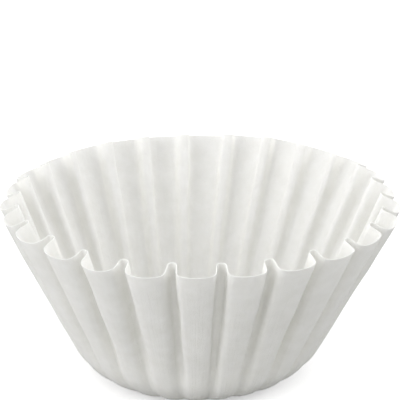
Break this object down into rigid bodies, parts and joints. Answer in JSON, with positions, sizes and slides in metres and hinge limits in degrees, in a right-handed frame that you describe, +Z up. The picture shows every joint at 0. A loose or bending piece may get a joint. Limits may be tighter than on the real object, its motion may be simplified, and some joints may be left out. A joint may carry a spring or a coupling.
{
  "type": "paper coffee filter",
  "caption": "Round basket coffee filter of white creped paper, with a flat floor and a flared wall pressed into flutes; it lines a brew basket and holds the ground coffee.",
  "frame": {"origin": "middle of the floor's underside, where the filter stands", "axes": "+Z up through the open mouth, the middle of one outer lobe towards -Y"},
  "size_m": [0.1386, 0.1388, 0.0648],
  "materials": {
    "filter_paper": "matte white creped paper"
  },
  "bodies": {
    "root": {"filter": "filter_paper"}
  },
  "joints": []
}
